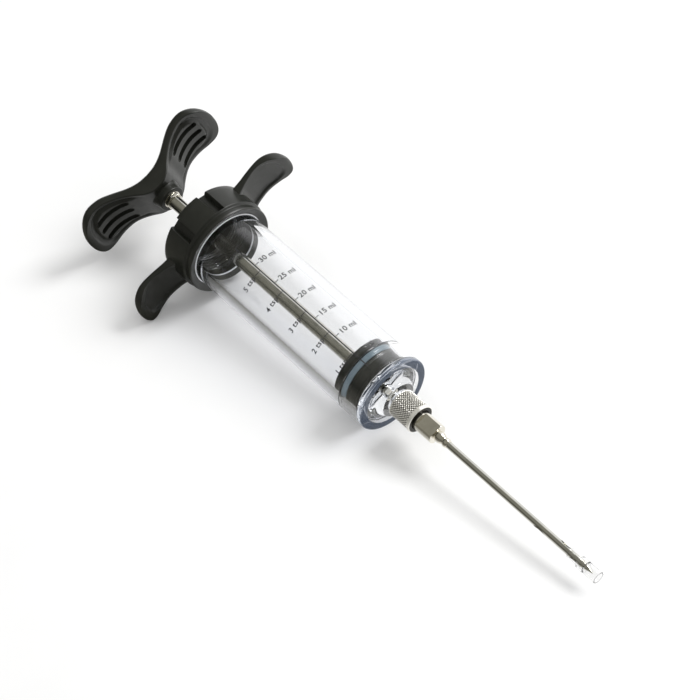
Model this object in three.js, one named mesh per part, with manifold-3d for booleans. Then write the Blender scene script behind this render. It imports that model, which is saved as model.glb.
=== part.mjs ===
// A hand-held marinade injector: a clear syringe barrel with a black screw cap and finger wings,
// a steel plunger with a palm handle, and a screw-on needle with a slip-on tip guard.
//
// Millimetres, +Z up. Everything is first drawn in barrel coordinates: the syringe axis is X, the
// barrel's front rim is the plane x = 0 and the needle points to +X. The whole assembly is then
// shifted along X so that the origin sits on the axis at half of the overall length.
import * as THREE from 'three';
import { mergeVertices } from 'three/addons/utils/BufferGeometryUtils.js';
import Module from 'manifold-3d';

const wasm = await Module();
wasm.setup();

// ---------------------------------------------------------------- driving dimensions
const CAP_ROLL = THREE.MathUtils.degToRad(28.6);    // finger wings, as the injector lies on a table
const HANDLE_ROLL = THREE.MathUtils.degToRad(28.2); // palm handle, which is free to spin
const GAP = 0.3;                           // running clearance between pieces that move
const FIT = 0.05;                          // clearance between pieces clamped together

const BARREL_R = 15.4;
const BORE_R = 12.0;
const BARREL_REAR = -103.3;
const WALL_FRONT = -3.4;                   // inner face of the barrel's front wall
const RIM_INNER_R = 12.0;                  // front ring face, inner edge
const RIM_OUTER_R = 14.9;
const NOZZLE_R = 4.4;
const NOZZLE_END = 9.6;
const PASSAGE_R = 1.6;

const CAP_REAR = -107.0;
const CAP_WALL = 1.6;                      // thickness of the cap's rear wall
const LUG_FRONT = -95.3;
const CAP_FRONT = -91.6;
const LUG_R = 19.3;
const LUG_REAR_R = 18.5;                   // the lugs' rear edge is rounded off
const GROOVE_R = 16.9;
const CAP_RING_R = 18.9;
const CAP_BORE_R = BARREL_R + GAP;
const LUG_PITCH = THREE.MathUtils.degToRad(45);
const LUG_GROOVE = THREE.MathUtils.degToRad(12);    // width of the grooves between the lugs
const LUG_SHIFT = THREE.MathUtils.degToRad(-1.2);   // the lug pattern's turn from the wings

const WING_TIP_Y = 40.2;
const WING_HALF = 8.8;

const GUIDE_REAR = -105.1;                 // guide washer, between the cap's wall and the barrel
const GUIDE_FRONT = -103.6;
const GUIDE_R = 15.3;

const ROD_REAR = -136.0;
const ROD_R = 2.7;
const ROD_SHOULDER = -17.5;                // where the rod steps down to its stud
const STUD_R = 1.9;                        // thin front end of the rod, through the piston
const STUD_END = -4.3;
const PISTON_REAR = -16.5;
const PISTON_FRONT = -3.9;
const SEAL_R = BORE_R - 0.12;
const SEAL_INNER_R = 6.1;
const REAR_SEAL_FRONT = -12.3;
const FRONT_SEAL_REAR = -10.0;
const CORE_R = 6.0;
const CORE_FRONT = -7.6;
const CORE_FLANGE_R = 11.4;                // the flange shows as a stripe between the seals
const CORE_FLANGE_REAR = -12.2;
const CORE_FLANGE_FRONT = -10.1;
const STUD_RING_X = -8.35;
const STUD_RING_WIRE_R = 0.55;
const REAR_WASHER_R = 9.5;
const FRONT_WASHER_R = 5.6;
const END_NUT_FLATS = 5.5;
const LOCK_NUT_FLATS = 6.3;

const HANDLE_BOSS_FRONT = -126;
const BOSS_R = 5.4;
const INSERT_R = 3.6;
const HANDLE_REAR = -144.0;                // rearmost point of the swept-back lobes
const HANDLE_TIP_Y = 33.8;
const SLOT_HALF = 1.4;
const SLOT_MIDDLES = [-6, 0, 6];           // z of the three grooves in a lobe
const PAD_RAISE = 0.8;                     // finger pad, proud of a lobe's rim

const NUT_REAR = 3.8;
const NUT_FRONT = 14.4;
const NUT_R = 5.6;                         // knurled grip
const NUT_COLLAR_R = 5.8;                  // plain band in front of the grip
const NUT_BORE_R = 4.7;
const NUT_WALL = 12.7;                     // inner face of the nut's front wall

const HUB_REAR = 10.8;
const FLANGE_R = 4.4;                      // flange that the nut pulls on
const FLANGE_FRONT = 12.4;
const HUB_R = 3.8;
const FLATS_REAR = 15.6;                   // two wrench flats on the hub
const FLATS_HALF = 2.8;
const FLATS_ROLL = 21.9;                   // degrees, as the needle happens to be tightened
const HUB_FRONT = 23.2;
const BEAD_R = 2.15;                       // first of the two beads in front of the flats
const WAIST_X = 26.6;
const WAIST_R = 1.6;
const BALL_X = 27.9;
const BALL_R = 1.8;
const HUB_END = 29.2;
const TUBE_R = 1.35;
const TUBE_BORE_R = 0.95;
const TUBE_REAR = 16.2;
const TUBE_FRONT = 95.6;
const POINT_TIP = 100.6;
const PORT_R = 0.9;                        // half width of a side port
const PORT_STRETCH = 2.7;                  // its length over its width
const PORTS = [[75.6, 197], [86.7, 45], [92.6, 197]];  // x, and degrees round the tube from +Y

const GUARD_REAR = 89.3;
const GUARD_FRONT = 103.0;

const ROUND = 40;                          // facets round a large circle
const SMALL_ROUND = 24;                    // facets round a small one

// ---------------------------------------------------------------- materials
function material(colour, roughness, metalness) {
  return new THREE.MeshStandardMaterial({ color: colour, roughness, metalness });
}
const blackPlastic = () => material(0x23241f, 0.45, 0);
const steel = () => material(0xb9b4a8, 0.25, 1);
const nickel = () => material(0xcfcabc, 0.2, 1);
const clearPlastic = () => material(0xdde3ee, 0.05, 0);
const blackRubber = () => material(0x191a17, 0.6, 0);
const greyPlastic = () => material(0x8b97a3, 0.4, 0);

// ---------------------------------------------------------------- geometry helpers
// Leaves only merged positions, drops slivers and turns the faces outwards.
function closed(geometry) {
  const bare = geometry.clone();
  bare.deleteAttribute('normal');
  bare.deleteAttribute('uv');
  const merged = mergeVertices(bare, 1e-4);
  const p = merged.attributes.position;
  const kept = [];
  let volume = 0;
  const [a, b, c] = [new THREE.Vector3(), new THREE.Vector3(), new THREE.Vector3()];
  for (let i = 0; i < merged.index.count; i += 3) {
    const [i0, i1, i2] = [0, 1, 2].map((k) => merged.index.getX(i + k));
    if (i0 === i1 || i1 === i2 || i2 === i0) continue;
    kept.push(i0, i1, i2);
    a.fromBufferAttribute(p, i0);
    b.fromBufferAttribute(p, i1);
    c.fromBufferAttribute(p, i2);
    volume += a.dot(b.cross(c));
  }
  if (volume < 0) kept.reverse();
  merged.setIndex(kept);
  return merged;
}

function toSolid(geometry) {
  const g = closed(geometry);
  return new wasm.Manifold(new wasm.Mesh({
    numProp: 3,
    vertProperties: new Float32Array(g.attributes.position.array),
    triVerts: new Uint32Array(g.index.array),
  }));
}

function toGeometry(solid) {
  const mesh = solid.getMesh();
  const g = new THREE.BufferGeometry();
  g.setAttribute('position', new THREE.BufferAttribute(new Float32Array(mesh.vertProperties), 3));
  g.setIndex(new THREE.BufferAttribute(new Uint32Array(mesh.triVerts), 1));
  return g;
}

// Turns a profile of [x, radius] points about the X axis.
function revolve(profile, facets = ROUND) {
  const points = profile.map(([x, r]) => new THREE.Vector2(r, x));
  const g = new THREE.LatheGeometry(points, facets);
  g.rotateZ(-Math.PI / 2);
  return closed(g);
}

// A washer, sleeve or tube between two planes and two radii.
function ring(x0, x1, inner, outer, facets = ROUND) {
  return revolve([[x0, inner], [x1, inner], [x1, outer], [x0, outer], [x0, inner]], facets);
}

function rod(x0, x1, r, facets = SMALL_ROUND) {
  return revolve([[x0, 0], [x0, r], [x1, r], [x1, 0]], facets);
}

// A flat outline in the (y, z) plane, drawn out along X from x0 to x1.
function prismX(shape, x0, x1, curveSegments = 6) {
  const g = new THREE.ExtrudeGeometry(shape, { depth: x1 - x0, bevelEnabled: false, curveSegments });
  g.applyMatrix4(new THREE.Matrix4().makeBasis(
    new THREE.Vector3(0, 1, 0),
    new THREE.Vector3(0, 0, 1),
    new THREE.Vector3(1, 0, 0),
  ));
  g.translate(x0, 0, 0);
  return g;
}

// A side profile in the (x, y) plane, drawn out along Z to both sides.
function prismZ(shape, half) {
  const g = new THREE.ExtrudeGeometry(shape, { depth: 2 * half, bevelEnabled: false });
  g.translate(0, 0, -half);
  return g;
}

function hexagon(flats) {
  const corner = flats / Math.sqrt(3);
  const points = [];
  for (let k = 0; k < 6; k++) {
    const angle = (k * Math.PI) / 3;
    points.push(new THREE.Vector2(corner * Math.cos(angle), corner * Math.sin(angle)));
  }
  return new THREE.Shape(points);
}

function smooth(points, divisions) {
  const curve = new THREE.SplineCurve(points.map(([x, y]) => new THREE.Vector2(x, y)));
  return curve.getPoints(divisions);
}

// The same solid turned half a turn about the X axis.
const opposite = (solid) => solid.rotate([180, 0, 0]);

// ---------------------------------------------------------------- barrel
function barrel() {
  return revolve([
    [BARREL_REAR, BORE_R],
    [BARREL_REAR, BARREL_R],
    [-0.6, BARREL_R],
    [0, RIM_OUTER_R],
    [0, RIM_INNER_R],
    [-1.4, RIM_INNER_R - 0.2],
    [-1.2, 10.4],
    [1.2, 7.8],
    [2.6, 7.4],
    [2.6, NOZZLE_R],
    [NOZZLE_END, NOZZLE_R],
    [NOZZLE_END, PASSAGE_R],
    [WALL_FRONT, PASSAGE_R],
    [WALL_FRONT, BORE_R],
    [BARREL_REAR, BORE_R],
  ]);
}

// ---------------------------------------------------------------- screw cap with finger wings
function wingSide() {
  const front = smooth([[-99.8, 16.4], [-100.9, 19.5], [-102.6, 28.5], [-99.8, 36.2]], 8);
  const tip = smooth([[-99.8, 36.2], [-98.9, 38.6], [-100.6, WING_TIP_Y], [-103.2, 38.6]], 8);
  const rear = smooth([[-103.2, 38.6], [-104.9, 34], [-105.2, 28], [-104.7, 16.4]], 6);
  return new THREE.Shape([...front, ...tip.slice(1), ...rear.slice(1)]);
}

function wingOutline() {
  const edge = smooth([[16.2, 8.2], [24, 8.4], [31, WING_HALF], [36.6, 7.2], [39.8, 3.8], [41.2, 0]], 14);
  const lower = edge.slice(0, -1).reverse().map((p) => new THREE.Vector2(p.x, -p.y));
  return new THREE.Shape([...edge, ...lower]);
}

function wing() {
  const side = toSolid(prismZ(wingSide(), WING_HALF + 2));
  return side.intersect(toSolid(prismX(wingOutline(), -108, -96)));
}

// Cuts the groove between two lugs: a wedge of the ring outside the groove floor, open at the rear.
function lugGroove(angle) {
  const shape = new THREE.Shape();
  const half = LUG_GROOVE / 2;
  shape.absarc(0, 0, LUG_R + 1, -half, half, false);
  shape.absarc(0, 0, GROOVE_R, half, -half, true);
  const cutter = toSolid(prismX(shape, CAP_REAR - 1, LUG_FRONT, 4));
  return cutter.rotate([90 + THREE.MathUtils.radToDeg(angle + LUG_SHIFT), 0, 0]);
}

function screwCap() {
  const shell = revolve([
    [CAP_REAR, 0],
    [CAP_REAR, LUG_REAR_R - 0.5],
    [CAP_REAR + 0.4, LUG_REAR_R],
    [CAP_REAR + 1.5, LUG_R],
    [LUG_FRONT, LUG_R],
    [LUG_FRONT + 0.6, CAP_RING_R - 0.4],
    [CAP_FRONT - 0.4, CAP_RING_R],
    [CAP_FRONT, CAP_RING_R - 0.4],
    [CAP_FRONT - 1.8, CAP_BORE_R],
    [CAP_FRONT - 1.8, 0],
  ]);
  let cap = toSolid(shell);
  for (const steps of [-0.5, 0.5]) {
    const groove = lugGroove(steps * LUG_PITCH);
    cap = cap.subtract(groove).subtract(opposite(groove));
  }
  cap = cap.add(wing()).add(opposite(wing()));
  cap = cap.subtract(toSolid(rod(CAP_REAR + CAP_WALL, CAP_FRONT + 1, CAP_BORE_R, ROUND)));
  return toGeometry(cap.subtract(toSolid(rod(CAP_REAR - 1, CAP_FRONT, ROD_R + GAP))));
}

// ---------------------------------------------------------------- plunger and piston
function plungerRod() {
  return revolve([
    [ROD_REAR, 0],
    [ROD_REAR, ROD_R - 0.4],
    [ROD_REAR + 0.4, ROD_R],
    [ROD_SHOULDER, ROD_R],
    [ROD_SHOULDER, STUD_R],
    [STUD_END - 0.3, STUD_R],
    [STUD_END, STUD_R - 0.3],
    [STUD_END, 0],
  ], SMALL_ROUND);
}

function rearSeal() {
  return revolve([
    [PISTON_REAR, SEAL_INNER_R],
    [PISTON_REAR, SEAL_R - 0.5],
    [PISTON_REAR + 0.4, SEAL_R],
    [REAR_SEAL_FRONT - 0.4, SEAL_R],
    [REAR_SEAL_FRONT, SEAL_R - 0.5],
    [REAR_SEAL_FRONT, SEAL_INNER_R],
    [PISTON_REAR, SEAL_INNER_R],
  ]);
}

// Spool between the two seals, with a counterbore at the front for the ring that seals the stud.
function pistonCore() {
  return revolve([
    [PISTON_REAR, STUD_R + 0.1],
    [PISTON_REAR, CORE_R],
    [CORE_FLANGE_REAR, CORE_R],
    [CORE_FLANGE_REAR, CORE_FLANGE_R],
    [CORE_FLANGE_FRONT, CORE_FLANGE_R],
    [CORE_FLANGE_FRONT, CORE_R],
    [CORE_FRONT, CORE_R],
    [CORE_FRONT, 3.1],
    [CORE_FRONT - 1.5, 3.1],
    [CORE_FRONT - 1.5, STUD_R + 0.1],
    [PISTON_REAR, STUD_R + 0.1],
  ]);
}

function studRing() {
  const section = [];
  for (let k = 0; k <= 10; k++) {
    const angle = (k * 2 * Math.PI) / 10;
    const x = STUD_RING_X + STUD_RING_WIRE_R * Math.sin(angle);
    section.push([x, STUD_R + 0.62 + STUD_RING_WIRE_R * Math.cos(angle)]);
  }
  return revolve(section, SMALL_ROUND);
}

function frontSeal() {
  return revolve([
    [FRONT_SEAL_REAR, SEAL_INNER_R],
    [FRONT_SEAL_REAR, SEAL_R - 0.5],
    [FRONT_SEAL_REAR + 0.4, SEAL_R],
    [PISTON_FRONT - 0.4, SEAL_R],
    [PISTON_FRONT, SEAL_R - 0.5],
    [PISTON_FRONT, SEAL_INNER_R],
    [FRONT_SEAL_REAR, SEAL_INNER_R],
  ]);
}

function hexNut(x0, x1, flats, bore) {
  const body = toSolid(prismX(hexagon(flats), x0, x1));
  return toGeometry(body.subtract(toSolid(rod(x0 - 1, x1 + 1, bore))));
}

// ---------------------------------------------------------------- palm handle
function handleSide() {
  const front = [
    [-129.6, 4.6], [-133.6, 9], [-138.0, 15], [-140.0, 22], [-139.0, 28], [-137.6, 31.4],
  ];
  const tip = [[-137.6, 31.4], [-137.9, 33.2], [-139.3, HANDLE_TIP_Y], [-140.8, 33.0]];
  const rear = [[-140.8, 33.0], [-143.1, 28], [HANDLE_REAR, 22], [-142.4, 15], [-139.2, 9], [-137.6, 0]];
  const half = [...smooth(front, 14), ...smooth(tip, 6).slice(1), ...smooth(rear, 16).slice(1)];
  const mirrored = half.slice(0, -1).reverse().map((p) => new THREE.Vector2(p.x, -p.y));
  return new THREE.Shape([...half, ...mirrored]);
}

function handleOutline() {
  const edge = smooth([
    [0, 8.6], [8, 9.4], [15, 10.5], [24, 12.4], [30, 10.9], [33.4, 6.2], [35, 0],
  ], 22);
  const points = [...edge];
  edge.slice(0, -1).reverse().forEach((p) => points.push(new THREE.Vector2(p.x, -p.y)));
  edge.slice(1).forEach((p) => points.push(new THREE.Vector2(-p.x, -p.y)));
  edge.slice(1, -1).reverse().forEach((p) => points.push(new THREE.Vector2(-p.x, p.y)));
  return new THREE.Shape(points);
}

function handleBoss() {
  return toSolid(rod(-136.9, HANDLE_BOSS_FRONT, BOSS_R));
}

// The raised finger pad on the front of a lobe.
function fingerPad() {
  const side = prismZ(handleSide(), 12);
  side.translate(PAD_RAISE, 0, 0);
  const edge = smooth([[10.5, 6.2], [16, 8.0], [24, 9.6], [29, 7.4], [31, 0]], 12);
  const lower = edge.slice(0, -1).reverse().map((p) => new THREE.Vector2(p.x, -p.y));
  return toSolid(side).intersect(toSolid(prismX(new THREE.Shape([...edge, ...lower]), -141.5, -130)));
}

// One blind finger groove, following the front of a lobe.
function gripSlot(zMiddle) {
  const floor = smooth([[-138.3, 12.8], [-141.2, 18], [-142.1, 22.5], [-141.0, 27.2]], 6);
  const open = [new THREE.Vector2(-130, 27.2), new THREE.Vector2(-130, 12.8)];
  const g = prismZ(new THREE.Shape([...floor, ...open]), SLOT_HALF);
  g.translate(0, 0, zMiddle);
  return toSolid(g);
}

function palmHandle() {
  let body = toSolid(prismZ(handleSide(), 16)).intersect(toSolid(prismX(handleOutline(), -150, -120)));
  body = body.add(handleBoss()).add(fingerPad()).add(opposite(fingerPad()));
  for (const zMiddle of SLOT_MIDDLES) {
    const slot = gripSlot(zMiddle);
    body = body.subtract(slot).subtract(opposite(slot));
  }
  const hole = toSolid(rod(ROD_REAR - 0.2, HANDLE_BOSS_FRONT + 1, INSERT_R + FIT));
  return toGeometry(body.subtract(hole));
}

// ---------------------------------------------------------------- needle
// Flange that the nut pulls on, a round body, and two beads in front of it.
function hubProfile() {
  const points = [[HUB_REAR, 0], [HUB_REAR, FLANGE_R], [FLANGE_FRONT, FLANGE_R]];
  points.push([FLANGE_FRONT, HUB_R], [HUB_FRONT, HUB_R]);
  points.push([HUB_FRONT, 1.7], [HUB_FRONT + 0.5, BEAD_R - 0.1], [24.6, BEAD_R], [25.8, BEAD_R - 0.2]);
  points.push([WAIST_X, WAIST_R]);
  for (let k = 0; k <= 6; k++) {
    const angle = Math.PI * (0.66 - (0.36 * k) / 6);
    points.push([BALL_X + BALL_R * Math.cos(angle), BALL_R * Math.sin(angle)]);
  }
  points.push([HUB_END, TUBE_R + FIT + 0.1], [HUB_END, 0]);
  return points;
}

function needleHub() {
  let hub = toSolid(revolve(hubProfile(), SMALL_ROUND));
  const shape = new THREE.Shape();
  shape.moveTo(-HUB_R - 1, FLATS_HALF);
  shape.lineTo(HUB_R + 1, FLATS_HALF);
  shape.lineTo(HUB_R + 1, HUB_R + 1);
  shape.lineTo(-HUB_R - 1, HUB_R + 1);
  const beside = toSolid(prismX(shape, FLATS_REAR, HUB_FRONT + 0.1)).rotate([FLATS_ROLL, 0, 0]);
  hub = hub.subtract(beside).subtract(opposite(beside));
  return toGeometry(hub.subtract(toSolid(rod(HUB_REAR - 1, HUB_END + 0.8, TUBE_R + FIT, SMALL_ROUND))));
}

// Tube with long side ports.
function needleTube() {
  let tube = toSolid(ring(TUBE_REAR, TUBE_FRONT, TUBE_BORE_R, TUBE_R, SMALL_ROUND));
  for (const [x, turn] of PORTS) {
    const drill = new THREE.CylinderGeometry(PORT_R, PORT_R, 2, 12);
    drill.scale(PORT_STRETCH, 1, 1);
    drill.translate(0, TUBE_R, 0);
    drill.rotateX(THREE.MathUtils.degToRad(turn));
    drill.translate(x, 0, 0);
    tube = tube.subtract(toSolid(drill));
  }
  return toGeometry(tube);
}

// Solid pencil point with a short plug that closes the tube's end.
function needlePoint() {
  return revolve([
    [TUBE_FRONT - 2, 0],
    [TUBE_FRONT - 2, TUBE_BORE_R - FIT],
    [TUBE_FRONT + 0.05, TUBE_BORE_R - FIT],
    [TUBE_FRONT + 0.05, TUBE_R],
    [TUBE_FRONT + 3, 0.8],
    [POINT_TIP, 0.12],
    [POINT_TIP, 0],
  ], SMALL_ROUND);
}

function knurledNut() {
  return revolve([
    [NUT_REAR, NUT_BORE_R],
    [NUT_REAR, NUT_R - 0.3],
    [NUT_REAR + 0.3, NUT_R],
    [12.5, NUT_R],
    [12.7, NUT_R - 0.3],
    [13.1, NUT_R - 0.3],
    [13.3, NUT_COLLAR_R],
    [NUT_FRONT - 0.4, NUT_COLLAR_R],
    [NUT_FRONT, NUT_COLLAR_R - 0.4],
    [NUT_FRONT, HUB_R + GAP],
    [NUT_WALL, HUB_R + GAP],
    [NUT_WALL, NUT_BORE_R],
    [NUT_REAR, NUT_BORE_R],
  ]);
}

function tipGuard() {
  return revolve([
    [GUARD_REAR, TUBE_R + 0.15],
    [GUARD_REAR, 1.85],
    [95.5, 1.95],
    [95.9, 2.3],
    [GUARD_FRONT, 2.4],
    [GUARD_FRONT, 1.95],
    [96.6, 1.85],
    [95.9, TUBE_R + 0.15],
    [GUARD_REAR, TUBE_R + 0.15],
  ], SMALL_ROUND);
}

// ---------------------------------------------------------------- assembly
function piece(name, geometry, finish) {
  const mesh = new THREE.Mesh(geometry, finish);
  mesh.name = name;
  return mesh;
}

const injector = new THREE.Group();
injector.add(piece('barrel', barrel(), clearPlastic()));

const cap = new THREE.Group();
cap.rotation.x = CAP_ROLL;
cap.add(piece('screw_cap', screwCap(), blackPlastic()));
const guide = ring(GUIDE_REAR, GUIDE_FRONT, ROD_R + 0.1, GUIDE_R);
cap.add(piece('rod_guide_washer', guide, blackPlastic()));
injector.add(cap);

const plunger = new THREE.Group();
plunger.rotation.x = HANDLE_ROLL;
plunger.add(piece('palm_handle', palmHandle(), blackPlastic()));
const insert = ring(ROD_REAR, HANDLE_BOSS_FRONT + 0.1, ROD_R + FIT, INSERT_R, SMALL_ROUND);
plunger.add(piece('handle_insert', insert, nickel()));
plunger.add(piece('rod_lock_nut', hexNut(-125.8, -124.4, LOCK_NUT_FLATS, ROD_R + FIT), nickel()));
plunger.add(piece('plunger_rod', plungerRod(), steel()));
plunger.add(piece('piston_rear_washer', ring(-17.4, -16.6, STUD_R + FIT, REAR_WASHER_R), steel()));
const frontWasher = ring(-7.5, -6.9, STUD_R + FIT, FRONT_WASHER_R, SMALL_ROUND);
plunger.add(piece('piston_front_washer', frontWasher, steel()));
plunger.add(piece('piston_end_nut', hexNut(-6.8, -4.5, END_NUT_FLATS, STUD_R + FIT), nickel()));
injector.add(plunger);

injector.add(piece('piston_rear_seal', rearSeal(), blackRubber()));
injector.add(piece('piston_core', pistonCore(), greyPlastic()));
injector.add(piece('piston_front_seal', frontSeal(), blackRubber()));
injector.add(piece('stud_o_ring', studRing(), blackRubber()));

const nozzleWasher = ring(NOZZLE_END + 0.1, HUB_REAR - 0.1, 1.5, 4.1, SMALL_ROUND);
injector.add(piece('nozzle_washer', nozzleWasher, blackRubber()));
injector.add(piece('knurled_nut', knurledNut(), nickel()));
injector.add(piece('needle_hub', needleHub(), nickel()));
injector.add(piece('needle_tube', needleTube(), steel()));
injector.add(piece('needle_point', needlePoint(), steel()));
injector.add(piece('tip_guard', tipGuard(), clearPlastic()));

const extent = new THREE.Box3().setFromObject(injector, true);
injector.position.x = -(extent.min.x + extent.max.x) / 2;

export default injector;
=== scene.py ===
"""Visual model of a hand-held marinade injector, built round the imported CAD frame.

Shapes are written in barrel coordinates: millimetres, with the syringe axis along X, the barrel's
front rim at x = 0 and the needle towards +X. place() turns them into the row frame in metres.
"""
import math

import bmesh
import bpy
import numpy as np
from mathutils import Matrix, Vector


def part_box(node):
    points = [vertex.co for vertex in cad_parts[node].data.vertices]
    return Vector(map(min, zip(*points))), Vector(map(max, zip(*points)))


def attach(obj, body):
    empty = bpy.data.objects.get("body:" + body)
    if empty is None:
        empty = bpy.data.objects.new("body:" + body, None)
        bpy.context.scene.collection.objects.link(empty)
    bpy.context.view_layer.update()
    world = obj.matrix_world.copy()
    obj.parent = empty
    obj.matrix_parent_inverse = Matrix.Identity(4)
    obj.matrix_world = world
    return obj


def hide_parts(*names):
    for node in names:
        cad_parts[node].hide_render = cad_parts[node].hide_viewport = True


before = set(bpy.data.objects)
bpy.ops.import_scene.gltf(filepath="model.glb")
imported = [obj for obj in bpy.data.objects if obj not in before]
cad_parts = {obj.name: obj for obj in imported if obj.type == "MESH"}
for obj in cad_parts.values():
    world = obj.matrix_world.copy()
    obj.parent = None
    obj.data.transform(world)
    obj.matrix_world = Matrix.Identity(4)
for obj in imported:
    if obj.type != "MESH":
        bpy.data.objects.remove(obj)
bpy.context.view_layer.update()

# ---------------------------------------------------------------- dimensions, millimetres
MM = 0.001
CAP_ROLL = math.radians(28.6)       # finger wings, as the injector lies on the table
HANDLE_ROLL = math.radians(28.2)
FIT = 0.05                          # clearance round a piece that is fixed on or in another

BARREL_R = 15.4
BORE_R = 12.0
BARREL_REAR = -103.3
FRONT_WALL = -3.4                   # inner face of the barrel's front wall
CAP_THREAD_FRONT = -95.6
CAP_THREAD_PITCH = 1.75
CAP_THREAD_DEPTH = 0.55
SEAM_X = -11.75                     # shallow moulding line round the barrel
NOZZLE_R = 4.4
NOZZLE_END = 9.6
NOZZLE_THREAD_REAR = 3.0
NOZZLE_THREAD_PITCH = 1.0
NOZZLE_THREAD_DEPTH = 0.4
PASSAGE_R = 1.6
RIM_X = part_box("barrel")[1].x - NOZZLE_END * MM

CAP_REAR = -107.0
CAP_FLOOR = -105.4                  # inner face of the cap's rear wall
CAP_HOLE_R = 3.0
LUG_FRONT = -95.3
CAP_FRONT = -91.6
LUG_R = 19.3
GROOVE_R = 16.9
GROOVE_TURN = 22.5                  # a groove's middle, in degrees from square to the wings
GROOVE_SHIFT = -1.2
GROOVE_HALF = 6                     # half a groove's width, in degrees
CAP_BORE_R = 15.7
GUIDE_REAR = -105.1
GUIDE_FRONT = -103.6
GUIDE_R = 15.3
WING_ROOT = 14.6
WING_TIP = 40.3

HANDLE_TIP = 33.9
BOSS_REAR = -136.6
BOSS_FRONT = -126.0
INSERT_R = 3.6
SLOT_INNER = 12.4                   # the finger grooves' ends, along a lobe
SLOT_OUTER = 27.4
SLOT_HALF = 1.3
SLOT_STEP = 5.3                     # between one groove's middle and the next

ROD_REAR = -136.0
ROD_R = 2.7
ROD_SHOULDER = -17.5
STUD_R = 1.9
STUD_END = -4.3
PISTON_REAR = -16.5
PISTON_FRONT = -3.9
SEAL_R = BORE_R - 0.12
SEAL_INNER_R = 6.1
SEAL_WAIST = 0.28                   # how far a seal's middle is below its lips
CORE_R = 6.0
CORE_FRONT = -7.6
CORE_FLANGE_R = 11.4
CORE_FLANGE_REAR = -12.2
CORE_FLANGE_FRONT = -10.1
STUD_RING_GROOVE_REAR = -9.1
STUD_RING_GROOVE_R = 3.1
STUD_RING_X = -8.35
STUD_RING_WIRE_R = 0.55

NUT_REAR = 3.8
NUT_FRONT = 14.4
NUT_R = 5.6
NUT_BORE_R = 4.7
NUT_HOLE_R = 4.1
NUT_WALL = 12.7                     # inner face of the nut's front wall
KNURLS = 32
KNURL_PITCH = 1.1
KNURL_DEPTH = 0.38
KNURL_FRONT = 13.0

HUB_REAR = 10.8
HUB_FLANGE_R = 4.4
HUB_FLANGE_FRONT = 12.4
HUB_R = 3.8
FLATS_REAR = 15.6                   # two wrench flats on the hub
FLATS_HALF = 2.8
FLATS_TURN = math.radians(90 + 21.9)  # direction a flat faces, from +Y round towards +Z
HUB_FRONT = 23.2
BALL_X = 27.9
BALL_R = 1.8
TUBE_R = 1.35
TUBE_BORE_R = 0.95
TUBE_REAR = 16.2
TUBE_FRONT = 95.6
POINT_TIP = 100.6
PORTS = ((75.6, 197), (86.7, 45), (92.6, 197))  # x, and degrees round the tube from +Y
PORT_R = 0.9
PORT_STRETCH = 2.7                  # a port's length over its width
GUARD_REAR = 89.3
GUARD_FRONT = 103.0

SCALE_TURN = math.radians(-24.3)    # printed scale's place round the barrel, from +Z towards +Y
ML_STEP = 11.15                     # barrel length that holds 5 ml
TSP_STEP = 12.75                    # the same for a teaspoon
SCALE_ZERO = -2.6
LINE_HALF = 0.22
TICK_HALF = 0.15
LETTER = 3.1


# ---------------------------------------------------------------- mesh helpers
def place(points, roll=0.0):
    """Barrel coordinates in millimetres to the row frame in metres."""
    p = np.asarray(points, float).reshape(-1, 3) * MM
    c, s = math.cos(roll), math.sin(roll)
    y, z = p[:, 1] * c - p[:, 2] * s, p[:, 1] * s + p[:, 2] * c
    return np.stack([p[:, 0] + RIM_X, y, z], 1)


def build(name, points, faces, roll=0.0, sharp=35):
    """A mesh object with merged points, outward faces and edges sharp above the given angle."""
    mesh = bpy.data.meshes.new(name)
    mesh.from_pydata(place(points, roll).tolist(), [], [list(map(int, f)) for f in faces])
    bm = bmesh.new()
    bm.from_mesh(mesh)
    bmesh.ops.remove_doubles(bm, verts=bm.verts, dist=2e-7)
    bmesh.ops.dissolve_degenerate(bm, edges=bm.edges, dist=1e-7)
    bmesh.ops.recalc_face_normals(bm, faces=bm.faces)
    bm.to_mesh(mesh)
    bm.free()
    obj = bpy.data.objects.new(name, mesh)
    bpy.context.scene.collection.objects.link(obj)
    shade(obj, sharp)
    return obj


def shade(obj, sharp):
    """Smooth shading, with edges sharp above the given angle in degrees."""
    mesh = obj.data
    mesh.polygons.foreach_set("use_smooth", [True] * len(mesh.polygons))
    mesh.set_sharp_from_angle(angle=math.radians(sharp))


def grid_faces(rows, columns, closed_rows=False):
    """Quads between neighbouring rings; each ring is closed on itself."""
    faces = []
    last = rows if closed_rows else rows - 1
    for i in range(last):
        a, b = i * columns, ((i + 1) % rows) * columns
        for j in range(columns):
            k = (j + 1) % columns
            faces.append((a + j, a + k, b + k, b + j))
    return faces


def capped_rings(rows):
    """Faces of a body lofted through closed rings, with a face over each end."""
    n = len(rows[0])
    last = (len(rows) - 1) * n
    return grid_faces(len(rows), n) + [tuple(range(n)), tuple(range(last, last + n))]


def soften(corners, closed=False, steps=4):
    """A profile with each corner (x, r, radius) rounded off by its radius."""
    out = []
    n = len(corners)
    for i, (x, r, radius) in enumerate(corners):
        here = np.array([x, r], float)
        if radius <= 0 or (not closed and i in (0, n - 1)):
            out.append(here)
            continue
        before = np.array(corners[i - 1][:2], float) - here
        after = np.array(corners[(i + 1) % n][:2], float) - here
        reach_a, reach_b = (min(radius, 0.45 * np.linalg.norm(v)) for v in (before, after))
        a = here + before / np.linalg.norm(before) * reach_a
        b = here + after / np.linalg.norm(after) * reach_b
        for k in range(steps + 1):
            t = k / steps
            out.append((1 - t) ** 2 * a + 2 * t * (1 - t) * here + t * t * b)
    return np.array(out)


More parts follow.
